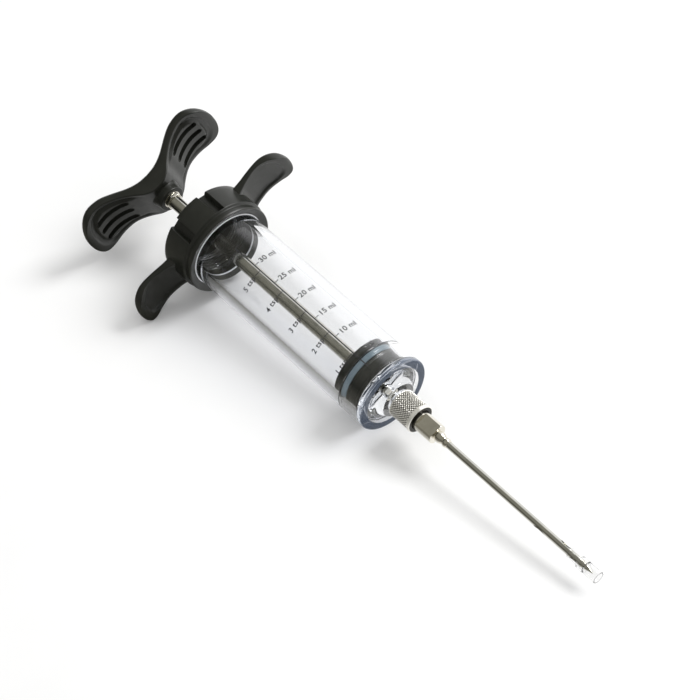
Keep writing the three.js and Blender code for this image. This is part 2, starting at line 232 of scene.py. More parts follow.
def split_long(profile, longest, closed):
    """Extra points along a profile. longest(a, b) is the longest step between two of its points."""
    out = []
    count = len(profile)
    for i in range(count if closed else count - 1):
        a, b = profile[i], profile[(i + 1) % count]
        steps = max(1, math.ceil(np.linalg.norm(b - a) / longest(a, b)))
        out += [a + (b - a) * k / steps for k in range(steps)]
    if not closed:
        out.append(profile[-1])
    return np.array(out)


def lathe(name, corners, closed=False, turns=96, longest=None, shape=None, roll=0.0, sharp=35,
          angles=None):
    """A solid of revolution about the axis. shape(x, r, angle) may change the radius."""
    profile = soften(corners, closed)
    if longest:
        profile = split_long(profile, lambda a, b: longest, closed)
    if angles is None:
        angles = np.linspace(0, 2 * math.pi, turns, endpoint=False)
    x, t = np.meshgrid(profile[:, 0], angles, indexing="ij")
    r = np.repeat(profile[:, 1][:, None], len(angles), 1)
    if shape is not None:
        r = shape(x, r, t)
    points = np.stack([x, r * np.cos(t), r * np.sin(t)], -1)
    faces = grid_faces(len(profile), len(angles), closed)
    return build(name, points, faces, roll, sharp)


def washer(name, x0, x1, inner, outer, edge=0.15, **more):
    """A ring with square sides and slightly rounded edges."""
    corners = [(x0, inner, edge), (x1, inner, edge), (x1, outer, edge), (x0, outer, edge)]
    return lathe(name, corners, True, **more)


def curve(knots):
    """A smooth function through (position, value) knots, even about zero."""
    xs = np.array([k[0] for k in knots], float)
    ys = np.array([k[1] for k in knots], float)
    slope = np.gradient(ys, xs)

    def value(v):
        v = np.clip(np.abs(v), xs[0], xs[-1])
        i = np.clip(np.searchsorted(xs, v) - 1, 0, len(xs) - 2)
        h = xs[i + 1] - xs[i]
        u = (v - xs[i]) / h
        return ((2 * u**3 - 3 * u**2 + 1) * ys[i] + (u**3 - 2 * u**2 + u) * h * slope[i]
                + (3 * u**2 - 2 * u**3) * ys[i + 1] + (u**3 - u**2) * h * slope[i + 1])
    return value


def smoothstep(v, low, high):
    """0 below low and 1 above high, with a smooth rise between."""
    u = np.clip((v - low) / (high - low), 0, 1)
    return u * u * (3 - 2 * u)


def cut(target, cutter, operation="DIFFERENCE"):
    """Applies a boolean and removes the cutter."""
    modifier = target.modifiers.new("cut", "BOOLEAN")
    modifier.operation = operation
    modifier.solver = "EXACT"
    modifier.object = cutter
    graph = bpy.context.evaluated_depsgraph_get()
    result = bpy.data.meshes.new_from_object(target.evaluated_get(graph))
    target.modifiers.clear()
    target.data = result
    bpy.data.objects.remove(cutter)


def dress(obj, body, material, slot, *nodes):
    """Gives a piece its material and body, and hides the CAD nodes it stands for. The slot argument is not
    used.
    """
    obj.data.materials.clear()
    obj.data.materials.append(material)
    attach(obj, body)
    if nodes:
        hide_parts(*nodes)
    return obj


# ---------------------------------------------------------------- materials
class Nodes:
    """Short names for building a material's node tree."""

    def __init__(self, name):
        self.material = bpy.data.materials.new(name)
        self.material.use_nodes = True
        self.tree = self.material.node_tree
        self.shader = self.tree.nodes["Principled BSDF"]
        self.output = self.tree.nodes["Material Output"]
        self.place = self.add("ShaderNodeTexCoord").outputs["Object"]

    def add(self, kind, **values):
        node = self.tree.nodes.new(kind)
        for key, value in values.items():
            setattr(node, key, value)
        return node

    def link(self, a, b):
        self.tree.links.new(a, b)

    def noise(self, scale, detail, stretch=(1, 1, 1)):
        """Noise in 0..1; scale is features per metre."""
        mapping = self.add("ShaderNodeMapping")
        mapping.inputs["Scale"].default_value = stretch
        self.link(self.place, mapping.inputs["Vector"])
        node = self.add("ShaderNodeTexNoise")
        node.inputs["Scale"].default_value = scale
        node.inputs["Detail"].default_value = detail
        node.inputs["Roughness"].default_value = 0.55
        self.link(mapping.outputs["Vector"], node.inputs["Vector"])
        return node.outputs["Fac"]

    def ramp(self, value, stops):
        """A colour that follows a value through (position, colour) stops."""
        node = self.add("ShaderNodeValToRGB")
        points = node.color_ramp.elements
        for point, (position, colour) in zip(points, stops):
            point.position = position
            point.color = (*colour, 1)
        self.link(value, node.inputs["Fac"])
        return node.outputs["Color"]

    def span(self, value, low, high, out_low=0.0, out_high=1.0):
        """A value carried from low..high to out_low..out_high, and held at both ends."""
        node = self.add("ShaderNodeMapRange")
        node.inputs["From Min"].default_value = low
        node.inputs["From Max"].default_value = high
        node.inputs["To Min"].default_value = out_low
        node.inputs["To Max"].default_value = out_high
        self.link(value, node.inputs["Value"])
        return node.outputs["Result"]

    def spread(self, noise, low, high):
        """Noise, most of which lies in 0.3..0.7, spread over low..high."""
        return self.span(noise, 0.3, 0.7, low, high)

    def combine(self, operation, *values):
        """Arithmetic on sockets and plain numbers."""
        node = self.add("ShaderNodeMath", operation=operation)
        for value, socket in zip(values, node.inputs):
            if isinstance(value, (int, float)):
                socket.default_value = value
            else:
                self.link(value, socket)
        return node.outputs["Value"]

    def radius(self):
        """Distance from the syringe's axis, in metres."""
        flat = self.add("ShaderNodeVectorMath", operation="MULTIPLY")
        flat.inputs[1].default_value = (0, 1, 1)
        self.link(self.place, flat.inputs[0])
        reach = self.add("ShaderNodeVectorMath", operation="LENGTH")
        self.link(flat.outputs["Vector"], reach.inputs[0])
        return reach.outputs["Value"]

    def along(self, position, axis):
        """One coordinate, "X", "Y" or "Z", of a position."""
        split = self.add("ShaderNodeSeparateXYZ")
        self.link(position, split.inputs["Vector"])
        return split.outputs[axis]

    def mix_shaders(self, share, first, second):
        """The first shader where share is 0 and the second where it is 1."""
        node = self.add("ShaderNodeMixShader")
        for value, socket in zip((share, first, second), node.inputs):
            self.link(value, socket)
        return node.outputs["Shader"]

    def bump(self, value, height):
        """Relief on the surface; height is in metres."""
        node = self.add("ShaderNodeBump")
        node.inputs["Distance"].default_value = height
        node.inputs["Strength"].default_value = 1.0
        self.link(value, node.inputs["Height"])
        self.link(node.outputs["Normal"], self.shader.inputs["Normal"])

    def set(self, **values):
        """Sets shader inputs; an underscore stands for a space in an input's name."""
        for key, value in values.items():
            self.shader.inputs[key.replace("_", " ")].default_value = value


def plastic(name, dark, light, rough, grain, height):
    """Moulded plastic: faint blotches of colour, uneven sheen and a fine grain."""
    n = Nodes(name)
    blotch = n.noise(140, 4)
    n.link(n.ramp(blotch, [(0.3, dark), (0.7, light)]), n.shader.inputs["Base Color"])
    n.link(n.spread(n.noise(420, 4), rough - 0.05, rough + 0.06), n.shader.inputs["Roughness"])
    n.bump(n.noise(grain, 3), height)
    n.set(IOR=1.5)
    return n.material


def metal(name, dark, light, rough, stretch, scratch):
    """Bare or plated metal: fine marks drawn out along one direction and faint tarnish."""
    n = Nodes(name)
    tarnish = n.noise(230, 4)
    n.link(n.ramp(tarnish, [(0.3, dark), (0.7, light)]), n.shader.inputs["Base Color"])
    marks = n.noise(2600, 5, stretch)
    n.link(n.spread(marks, max(rough - 0.06, 0.02), rough + 0.08), n.shader.inputs["Roughness"])
    n.bump(marks, scratch)
    n.set(Metallic=1.0)
    return n.material


def rim_painted_shade(n, clear_shader):
    """A dull slate colour painted over the thick wall at the barrel's front rim, where the plastic is seen
    edge on: painted shade, over the plastic's own faint body tint.
    """
    deepest, shallowest, most = 2.2 * MM, 0.4 * MM, 0.42
    near_rim = n.span(n.along(n.place, "X"), RIM_X - deepest, RIM_X - shallowest, 0.0, most)
    in_wall = n.combine("GREATER_THAN", n.radius(), (BORE_R + 0.1) * MM)
    # Painted shade: a diffuse slate colour mixed over the clear plastic near the rim.
    slate_shade = n.add("ShaderNodeBsdfDiffuse")
    slate_shade.inputs["Color"].default_value = (0.13, 0.17, 0.25, 1)
    return n.mix_shaders(n.combine("MULTIPLY", near_rim, in_wall), clear_shader, slate_shade.outputs["BSDF"])


def clear(name, tint, rough, depth_tint, density, rim=False):
    """Clear moulded plastic with a cool body tint; lamp light passes through to the table."""
    n = Nodes(name)
    n.set(Transmission_Weight=1.0, IOR=1.52, Base_Color=(*tint, 1))
    n.link(n.spread(n.noise(300, 3), rough, rough + 0.03), n.shader.inputs["Roughness"])
    n.bump(n.noise(90, 2, (0.3, 1, 1)), 0.00002)
    surface = n.shader.outputs["BSDF"]
    # At the front rim, painted slate shade is mixed over the clear plastic.
    if rim:
        surface = rim_painted_shade(n, surface)
    passing = n.add("ShaderNodeBsdfTransparent")
    passing.inputs["Color"].default_value = (0.935, 0.935, 0.94, 1)
    path = n.add("ShaderNodeLightPath")
    lighting = n.combine("MAXIMUM", path.outputs["Is Shadow Ray"], path.outputs["Is Diffuse Ray"])
    n.link(n.mix_shaders(lighting, surface, passing.outputs["BSDF"]), n.output.inputs["Surface"])
    absorb = n.add("ShaderNodeVolumeAbsorption")
    absorb.inputs["Color"].default_value = (*depth_tint, 1)
    absorb.inputs["Density"].default_value = density
    n.link(absorb.outputs["Volume"], n.output.inputs["Volume"])
    return n.material


def knurled(name):
    """Nickel plate, painted near black in the bottoms of the knurl, which lie nearer the axis: painted shade
    in the grooves, with faint random patches.
    """
    n = Nodes(name)
    # Painted shade: the lower the surface lies in the knurl, the darker its colour; noise adds random
    # patches.
    height = n.span(n.radius(), (NUT_R - 0.40) * MM, (NUT_R - 0.10) * MM)
    groove_shade_and_patches = n.combine("MULTIPLY_ADD", n.noise(900, 3), 0.3, height)
    groove_shade, plate = (0.012, 0.011, 0.008), (1.0, 0.98, 0.92)
    n.link(n.ramp(groove_shade_and_patches, [(0.5, groove_shade), (0.85, plate)]), n.shader.inputs["Base Color"])
    n.set(Metallic=0.7, Roughness=0.16)
    return n.material


black = plastic("black_plastic", (0.011, 0.012, 0.009), (0.017, 0.018, 0.014), 0.34, 5200, 0.00001)
rubber = plastic("black_rubber", (0.007, 0.008, 0.006), (0.013, 0.014, 0.011), 0.40, 3000, 0.00001)
grey = plastic("grey_plastic", (0.14, 0.19, 0.22), (0.20, 0.26, 0.30), 0.35, 2600, 0.000008)
ink = plastic("black_ink", (0.02, 0.02, 0.022), (0.05, 0.05, 0.052), 0.55, 6000, 0.000004)
steel = metal("drawn_steel", (0.58, 0.575, 0.53), (0.70, 0.69, 0.64), 0.13, (0.04, 1, 1), 0.0000008)
knurl_nickel = knurled("knurled_nickel")
nickel = metal("nickel_plate", (0.74, 0.71, 0.63), (0.86, 0.83, 0.75), 0.10, (0.6, 1, 1), 0.000001)
glassy = clear("clear_plastic", (0.996, 0.997, 1.0), 0.0, (0.70, 0.80, 0.98), 9, rim=True)
guard_clear = clear("clear_guard_plastic", (0.99, 0.99, 0.99), 0.02, (0.8, 0.84, 0.95), 30)
# Painted highlight: near-white plastic for the barrel's shoulder ring, standing in for the bright line of
# light at the cap's mouth.
shoulder_highlight = plastic("shoulder_painted_highlight", (0.90, 0.91, 0.93), (0.97, 0.98, 1.0), 0.2, 2600, 0.000004)


# ---------------------------------------------------------------- barrel
def screw_thread(start, end, pitch, depth):
    """A radius change that cuts a thread between two places on the outer wall."""
    def shape(x, r, t, outer_above):
        phase = (x / pitch - t / (2 * math.pi)) % 1.0
        tooth = np.clip(np.abs(phase * 2 - 1) * 1.6 - 0.3, 0, 1)
        fade = smoothstep(x, start, start + 0.8) * (1 - smoothstep(x, end - 0.8, end))
        return np.where(r > outer_above, r - depth * fade * tooth, r)
    return shape


def barrel_shape(x, r, t):
    """The barrel's radius with the thread for the cap and the thread for the nut cut into it."""
    cap_thread = screw_thread(BARREL_REAR + 0.5, CAP_THREAD_FRONT, CAP_THREAD_PITCH, CAP_THREAD_DEPTH)
    nozzle_thread = screw_thread(NOZZLE_THREAD_REAR, NOZZLE_END - 0.2, NOZZLE_THREAD_PITCH,
                                 NOZZLE_THREAD_DEPTH)
    r = np.where(x < -90, cap_thread(x, r, t, BARREL_R - 0.01), r)
    return np.where(x > 2.8, nozzle_thread(x, r, t, NOZZLE_R - 0.01), r)


def barrel_step(a, b):
    """Longest step along the barrel's profile between two points: fine where a thread is cut."""
    under_cap = max(a[0], b[0]) < CAP_THREAD_FRONT + 1.1 and min(a[1], b[1]) > BARREL_R - 0.4
    on_nozzle = min(a[0], b[0]) > NOZZLE_THREAD_REAR - 0.5 and a[1] > NOZZLE_R - 0.5
    return 0.12 if under_cap or on_nozzle else 8.0


def make_barrel():
    corners = [
        (BARREL_REAR, BORE_R, 0.3), (BARREL_REAR, BARREL_R, 0.4), (CAP_THREAD_FRONT + 1.0, BARREL_R, 0),
        (SEAM_X - 0.15, BARREL_R, 0), (SEAM_X, BARREL_R - 0.16, 0.04), (SEAM_X + 0.25, BARREL_R, 0),
        (-2.6, BARREL_R, 0.1), (0, BARREL_R, 0.9), (0, 12.0, 0.35), (-1.4, 11.75, 0.3),
        (-1.2, 10.2, 0.9), (1.3, 7.9, 0.7), (2.6, 7.3, 0.5), (2.6, NOZZLE_R, 0.35),
        (NOZZLE_END, NOZZLE_R, 0.35), (NOZZLE_END, PASSAGE_R, 0.2),
        (FRONT_WALL, PASSAGE_R, 0.3), (FRONT_WALL, BORE_R, 0.5),
    ]
    profile = split_long(soften(corners, True, 6), barrel_step, True)
    dense = [(x, r, 0) for x, r in profile]
    barrel = lathe("clear_barrel", dense, True, 192, shape=barrel_shape, sharp=40)
    return dress(barrel, "barrel", glassy, "clear_plastic", "barrel")


# ---------------------------------------------------------------- printed scale
def on_barrel(u, x, lift):
    """Points at arc length u from the scale's line, wrapped on the barrel's outer wall."""
    a = SCALE_TURN + np.asarray(u) / BARREL_R
    r = BARREL_R + lift
    return np.stack([np.asarray(x), r * np.sin(a), r * np.cos(a)], -1)


def mark(u0, u1, x0, x1):
    """A printed line as a thin curved plate."""
    n = 8
    points, faces = [], []
    for u in np.linspace(u0, u1, n):
        points += [on_barrel(u, x, lift) for lift in (0.012, 0.045) for x in (x0, x1)]
    for a in range(0, 4 * (n - 1), 4):
        b = a + 4
        faces += [(a, a + 1, b + 1, b), (a + 2, b + 2, b + 3, a + 3)]
        faces += [(a, b, b + 2, a + 2), (a + 1, a + 3, b + 3, b + 1)]
    end = 4 * (n - 1)
    return points, faces + [(0, 2, 3, 1), (end, end + 1, end + 3, end + 2)]


def words(text, left, x):
    """Lettering as thin solids, reading round the barrel with its tops towards the cap."""
    font = bpy.data.curves.new("words", "FONT")
    font.body = text
    font.size = LETTER
    font.extrude = 0.5
    font.offset = 0.045
    font.resolution_u = 3
    font.space_character = 1.05
    font.align_x = "LEFT" if left >= 0 else "RIGHT"
    font.align_y = "CENTER"
    holder = bpy.data.objects.new("words", font)
    bpy.context.scene.collection.objects.link(holder)
    graph = bpy.context.evaluated_depsgraph_get()
    mesh = bpy.data.meshes.new_from_object(holder.evaluated_get(graph))
    co = np.array([v.co for v in mesh.vertices])
    points = on_barrel(left + co[:, 0], x - co[:, 1], 0.03 + 0.03 * co[:, 2])
    faces = [tuple(p.vertices) for p in mesh.polygons]
    bpy.data.objects.remove(holder)
    return points.tolist(), faces


def make_scale():
    """The printed line along the barrel, with millilitres on one side and teaspoons on the other."""
    parts = [mark(-LINE_HALF, LINE_HALF, SCALE_ZERO - 7 * ML_STEP, SCALE_ZERO - 4.5)]
    for k in range(1, 8):
        x = SCALE_ZERO - ML_STEP * k
        parts.append(mark(LINE_HALF, 1.9, x - TICK_HALF, x + TICK_HALF))
        if k < 7:
            parts.append(words(f"{5 * k} ml", 2.4, x))
    for k in range(1, 7):
        x = SCALE_ZERO - TSP_STEP * k
        parts.append(mark(-2.7, -LINE_HALF, x - TICK_HALF, x + TICK_HALF))
        parts.append(words(f"{k} tsp", -3.2, x))
    points, faces = [], []
    for part_points, part_faces in parts:
        faces += [tuple(i + len(points) for i in face) for face in part_faces]
        points += [tuple(map(float, point)) for point in part_points]
    scale = build("printed_scale", points, faces)
    return dress(scale, "barrel", ink, "black_plastic")


# ---------------------------------------------------------------- paddles: finger wings and palm handle
def tip_round(y, start, end, power):
    """1 before start, falling to 0 at end as a rounded outline does."""
    u = np.clip((np.abs(y) - start) / (end - start), 0, 1)
    return (1 - u**power) ** (1 / 2.2)


def narrowing(front_line, rear_line, start, end, power):
    """A paddle's front and rear, drawn together beyond start until they almost meet at its tip."""
    def middle(y):
        return (front_line(y) + rear_line(y)) / 2

    def drawn_in(line):
        def surface(y):
            share = np.maximum(tip_round(y, start, end, power), 0.02)
            return middle(y) + (line(y) - middle(y)) * share
        return surface
    return drawn_in(front_line), drawn_in(rear_line)


def inside_outline(y, t, width, start, end):
    """Above 0 within an area of the front that takes up width of it and is rounded off at end."""
    return 1 - (np.abs(t) / width) ** 3 - np.clip((abs(y) - start) / (end - start), 0, 1) ** 3


def paddle(name, stations, half, front, rear, relief, edge, back_edge, roll):
    """A closed body lofted along y. At each station its section has a front with crisp edges,
    straight sides and a rounded back. relief(y, t) raises or sinks the front; t runs across, -1 to 1."""
    rows = []
    across = np.sin(np.linspace(-1, 1, 45) * math.pi / 2)
    edge_turn = [k / 4 * math.pi / 2 for k in range(1, 5)]
    back_turn = [k / 6 * math.pi / 2 for k in range(7)]
    for y in stations:
        w, xf, xr = float(half(y)), float(front(y)), float(rear(y))
        thick = xf - xr
        e = min(edge, w * 0.3, thick * 0.3)
        b = min(back_edge, w * 0.6, thick * 0.6)
        section = [(xf + float(relief(y, t)) * min(1.0, w / 3), (w - e) * t) for t in across]
        side = [(xf - e + e * math.cos(a), w - e + e * math.sin(a)) for a in edge_turn]
        side += [(xr + b - b * math.sin(a), w - b + b * math.cos(a)) for a in back_turn]
        section += side
        for t in np.linspace(1, -1, 11)[1:-1]:
            section.append((xr - 0.25 * (1 - t * t) * min(1, w / 6), (w - b) * t))
        section += [(x, -z) for x, z in reversed(side)]
        rows.append([(x, y, z) for x, z in section])
    return build(name, np.array(rows), capped_rings(rows), roll, 38)


def wing(name, side):
    """One finger wing, with a dished front."""
    half_base = curve([(15, 8.3), (20, 8.1), (24, 8.4), (30, 8.9), (34, 8.9), (40.3, 8.6)])
    front_line = curve([(15, -98.9), (17, -99.7), (19.5, -100.9), (24, -102.1), (28.5, -102.5),
                        (33, -101.5), (36.5, -99.7), (39, -98.6), (40.3, -98.3)])
    rear_line = curve([(15, -104.6), (20, -104.8), (28, -105.2), (33, -105.0), (37, -104.0),
                       (40.3, -102.4)])
    front, rear = narrowing(front_line, rear_line, 37.5, WING_TIP, 2.5)

    def half(y):
        return np.maximum(half_base(y) * tip_round(y, 29, WING_TIP, 2.7), 0.02)

    def relief(y, t):
        dish = inside_outline(y, t, 0.88, 28.5, 36.9)
        return -0.85 * smoothstep(abs(y), 17, 21) * smoothstep(dish, 0, 0.3)

    out = np.sin(np.linspace(0, 1, 90) * math.pi / 2)
    stations = side * (WING_ROOT + (WING_TIP - WING_ROOT) * out)
    return paddle(name, stations, half, front, rear, relief, 0.35, 1.5, CAP_ROLL)


def groove_directions():
    """Directions of two of the cap's grooves, in degrees; the other two are opposite them."""
    return [90 + side * GROOVE_TURN + GROOVE_SHIFT for side in (-1, 1)]


def cap_angles():
    """Angles round the cap, closer together at the sides of the grooves."""
    sides = [middle + turn for middle in groove_directions() for turn in (-GROOVE_HALF, GROOVE_HALF)]
    edges = [math.radians(direction + half_turn) for direction in sides for half_turn in (0, 180)]
    fine = [e + math.radians(d) for e in edges for d in (-0.55, -0.3, -0.1, 0.1, 0.3, 0.55)]
    even = np.radians(np.arange(0, 360, 1.5))
    even = [a for a in even if min(abs(a - e) for e in edges) > math.radians(0.7)]
    return np.sort(np.array(fine + even) % (2 * math.pi))


def in_groove(t):
    """1 inside a groove between lugs, 0 on a lug, with a narrow rounded step between."""
    degrees = np.degrees(t) % 180
    inside = np.zeros_like(degrees)
    for direction in groove_directions():
        away = np.abs(degrees - direction)
        inside = np.maximum(inside, 1 - smoothstep(away, GROOVE_HALF - 0.4, GROOVE_HALF + 0.4))
    return inside


def cap_shape(x, r, t):
    """The cap's radius with the grooves between its lugs."""
    groove = in_groove(t) * (1 - smoothstep(x, LUG_FRONT - 0.35, LUG_FRONT))
    limit = r + (GROOVE_R - r) * groove
    return np.where(r > GROOVE_R, limit, r)


def make_cap():
    corners = [
        (CAP_REAR, CAP_HOLE_R, 0.2), (CAP_REAR, 16.5, 0), (CAP_REAR, 18.9, 0.9),
        (CAP_REAR + 2.2, LUG_R, 0.6), (LUG_FRONT, LUG_R, 0.25), (LUG_FRONT + 0.75, 18.35, 0.3),
        (CAP_FRONT - 0.9, 18.9, 0.4), (CAP_FRONT, 18.5, 0.3), (CAP_FRONT - 1.0, CAP_BORE_R, 0.2),
        (CAP_FLOOR, CAP_BORE_R, 0.3), (CAP_FLOOR, CAP_HOLE_R, 0.2),
    ]
    cap = lathe("screw_cap_body", corners, True, longest=0.5, shape=cap_shape, roll=CAP_ROLL,
                angles=cap_angles())
    for side in (1, -1):
        cut(cap, wing("wing", side), "UNION")
    front = CAP_FRONT + 1.6
    bore = [(CAP_FLOOR, 0, 0), (CAP_FLOOR, CAP_BORE_R, 0), (front, CAP_BORE_R, 0), (front, 0, 0)]
    cut(cap, lathe("bore", bore, roll=CAP_ROLL))
    shade(cap, 34)
    return dress(cap, "cap", black, "black_plastic", "screw_cap")


def groove_cutter(y_sign, z_middle, surface):
    """A round-ended finger groove that follows the pad of one lobe."""
    rows = []
    length = SLOT_OUTER - SLOT_INNER
    for y in SLOT_INNER + length * (1 - np.cos(np.linspace(0, math.pi, 41))) / 2:
        u = abs(2 * (y - SLOT_INNER) / length - 1)
        from_end = (1 - u) * length / 2
        h = SLOT_HALF * math.sqrt(max(1 - max(1 - from_end / SLOT_HALF, 0) ** 2, 0.0004))
        top = surface(y) + 3
        floor = surface(y) - 2.0 * smoothstep(from_end, -0.2, 1.6)
        side = [(top, h), (floor + 0.5, h), (floor + 0.12, h * 0.85), (floor, h * 0.5)]
        section = side + [(x, -z) for x, z in reversed(side)]
        rows.append([(x, y * y_sign, z_middle + z) for x, z in section])
    return build("groove", np.array(rows), capped_rings(rows), HANDLE_ROLL)


def make_handle():
    half_base = curve([(0, 8.5), (4, 8.7), (9, 9.4), (15, 10.6), (20, 12.0), (25, 12.8), (29, 12.7),
                       (34, 12.4)])
    front_line = curve([(0, -129.0), (3, -129.2), (6, -130.8), (9, -133.6), (12, -136.1), (15, -138.0),
                        (18, -139.2), (22, -139.9), (26, -139.5), (30, -138.3), (33.9, -137.2)])
    rear_line = curve([(0, -137.6), (4, -137.9), (9, -139.4), (12, -140.9), (15, -142.4), (18, -143.5),
                       (22, -144.0), (26, -143.6), (30, -142.3), (33.9, -140.2)])
    front, rear = narrowing(front_line, rear_line, 30.5, HANDLE_TIP, 2.4)

    def half(y):
        return np.maximum(half_base(y) * tip_round(y, 23.5, HANDLE_TIP, 2.6), 0.02)

    def relief(y, t):
        """A raised pad in a shallow bowl on each lobe."""
        bowl = inside_outline(y, t, 0.93, 22, 31.0)
        pad = inside_outline(y, t, 0.82, 20, 29.0)
        sink = 0.6 * smoothstep(abs(y), 6, 10) * smoothstep(bowl, 0, 0.3)
        return 1.2 * smoothstep(abs(y), 8, 12.5) * smoothstep(pad, 0, 0.4) - sink

    def pad_surface(y):
        return float(front(y)) + 0.55

    stations = HANDLE_TIP * np.sin(np.linspace(-1, 1, 181) * math.pi / 2)
    handle = paddle("palm_handle_body", stations, half, front, rear, relief, 0.6, 2.3, HANDLE_ROLL)
    boss = [(BOSS_REAR, 0, 0), (BOSS_REAR, 6.2, 0), (-130.2, 6.0, 1.5), (-128.6, 5.4, 1.2),
            (BOSS_FRONT, 5.3, 0.5), (BOSS_FRONT, 0, 0)]
    cut(handle, lathe("boss", boss, roll=HANDLE_ROLL, turns=96), "UNION")
    for sign in (1, -1):
        for z in (-SLOT_STEP, 0, SLOT_STEP):
            cut(handle, groove_cutter(sign, z, pad_surface))
    hole_r = INSERT_R + FIT
    rear_end, front_end = ROD_REAR - 0.2, BOSS_FRONT + 1.0
    hole = [(rear_end, 0, 0), (rear_end, hole_r, 0), (front_end, hole_r, 0), (front_end, 0, 0)]
    cut(handle, lathe("hole", hole, roll=HANDLE_ROLL))
    shade(handle, 34)
    return dress(handle, "plunger", black, "black_plastic", "palm_handle")


# ---------------------------------------------------------------- plunger and piston
def hex_piece(name, node, x0, x1, flats, inner):
    """A nickel hex nut on the plunger, with the corners of its ends turned down."""
    def shape(x, r, t):
        local = (t + math.pi / 6) % (math.pi / 3) - math.pi / 6
        side = flats / 2 / np.cos(local)
        cone = flats / 2 + 1.3 * np.minimum(np.abs(x - x0), np.abs(x - x1)) + 0.12
        return np.where(r > flats / 2 - 0.3, np.minimum(side, cone), r)

    corners = [(x0, inner, 0.1), (x1, inner, 0.1), (x1, flats / 2 - 0.25, 0), (x1 - 0.02, flats / 2, 0),
               (x0 + 0.02, flats / 2, 0), (x0, flats / 2 - 0.25, 0)]
    obj = lathe(name, corners, True, 144, 0.12, shape, HANDLE_ROLL, 30)
    return dress(obj, "plunger", nickel, "nickel", node)


def make_plunger():
    """The rod with everything fixed on it, and the disc in the cap that guides it."""
    rod = [(ROD_REAR, 0, 0), (ROD_REAR, ROD_R, 0.4), (ROD_SHOULDER, ROD_R, 0.3),
           (ROD_SHOULDER, STUD_R, 0.1), (STUD_END, STUD_R, 0.3), (STUD_END, 0, 0)]
    bar = lathe("plunger_rod_bar", rod, turns=96, longest=6)
    dress(bar, "plunger", steel, "steel", "plunger_rod")
    on_rod, on_stud = ROD_R + FIT, STUD_R + FIT
    insert = washer("threaded_insert", ROD_REAR, BOSS_FRONT + 0.1, on_rod, INSERT_R, 0.3, roll=HANDLE_ROLL)
    dress(insert, "plunger", nickel, "nickel", "handle_insert")
    hex_piece("lock_nut", "rod_lock_nut", -125.8, -124.4, 6.3, on_rod)
    for name, node, x0, x1, outer in (
            ("rear_washer_plate", "piston_rear_washer", -17.4, -16.6, 9.5),
            ("front_washer_plate", "piston_front_washer", -7.5, -6.9, 5.6)):
        dress(washer(name, x0, x1, on_stud, outer), "plunger", steel, "steel", node)
    hex_piece("end_nut", "piston_end_nut", -6.8, -4.5, 5.5, on_stud)
    guide = washer("guide_disc", GUIDE_REAR, GUIDE_FRONT, ROD_R + 0.1, GUIDE_R, 0.3)
    dress(guide, "guide", black, "black_plastic", "rod_guide_washer")


def lip_seal(name, x0, x1, node):
    """A rubber band with a raised lip at each end and a shallow waist."""
    lip, waist = SEAL_R, SEAL_R - SEAL_WAIST
    corners = [(x0, SEAL_INNER_R, 0.1), (x0, lip - 0.5, 0.35), (x0 + 0.35, lip, 0.25), (x0 + 0.95, lip, 0.3),
               (x0 + 1.35, waist, 0.4), (x1 - 1.35, waist, 0.4), (x1 - 0.95, lip, 0.3),
               (x1 - 0.35, lip, 0.25), (x1, lip - 0.5, 0.35), (x1, SEAL_INNER_R, 0.1)]
    return dress(lathe(name, corners, True, 144), "piston", rubber, "black_rubber", node)


def make_piston():
    lip_seal("rear_seal_ring", PISTON_REAR, CORE_FLANGE_REAR - 0.1, "piston_rear_seal")
    lip_seal("front_seal_ring", CORE_FLANGE_FRONT + 0.1, PISTON_FRONT, "piston_front_seal")
    bore_r = STUD_R + 0.1
    spool = [
        (PISTON_REAR, bore_r, 0.1), (PISTON_REAR, CORE_R, 0.2), (CORE_FLANGE_REAR, CORE_R, 0.2),
        (CORE_FLANGE_REAR, CORE_FLANGE_R, 0.3), (CORE_FLANGE_FRONT, CORE_FLANGE_R, 0.3),
        (CORE_FLANGE_FRONT, CORE_R, 0.2), (CORE_FRONT, CORE_R, 0.2), (CORE_FRONT, STUD_RING_GROOVE_R, 0.1),
        (STUD_RING_GROOVE_REAR, STUD_RING_GROOVE_R, 0.1), (STUD_RING_GROOVE_REAR, bore_r, 0.1),
    ]
    dress(lathe("piston_spool", spool, True, 128), "piston", grey, "grey_plastic", "piston_core")
    wire, middle_r = STUD_RING_WIRE_R, STUD_R + 0.62
    ring = [(STUD_RING_X + wire * math.sin(a), middle_r + wire * math.cos(a), 0)
            for a in np.linspace(0, 2 * math.pi, 24, endpoint=False)]
    dress(lathe("stud_seal_ring", ring, True, 64), "piston", rubber, "black_rubber", "stud_o_ring")


# ---------------------------------------------------------------- needle
def knurl(x, r, t):
    """Diamond knurl: two crossing sets of grooves on the nut's grip."""
    around = t / (2 * math.pi) * KNURLS
    along = x / KNURL_PITCH
    u = np.abs(((around + along) % 1.0) * 2 - 1)
    v = np.abs(((around - along) % 1.0) * 2 - 1)
    height = np.minimum(np.minimum(u, v) * 1.5, 1.0)
    begun = smoothstep(x, NUT_REAR + 0.3, NUT_REAR + 0.7)
    fade = begun * (1 - smoothstep(x, KNURL_FRONT - 0.3, KNURL_FRONT))
    on_grip = (r > NUT_R - 0.01) & (x < KNURL_FRONT + 0.05)
    return np.where(on_grip, r - KNURL_DEPTH * fade * (1 - height), r)


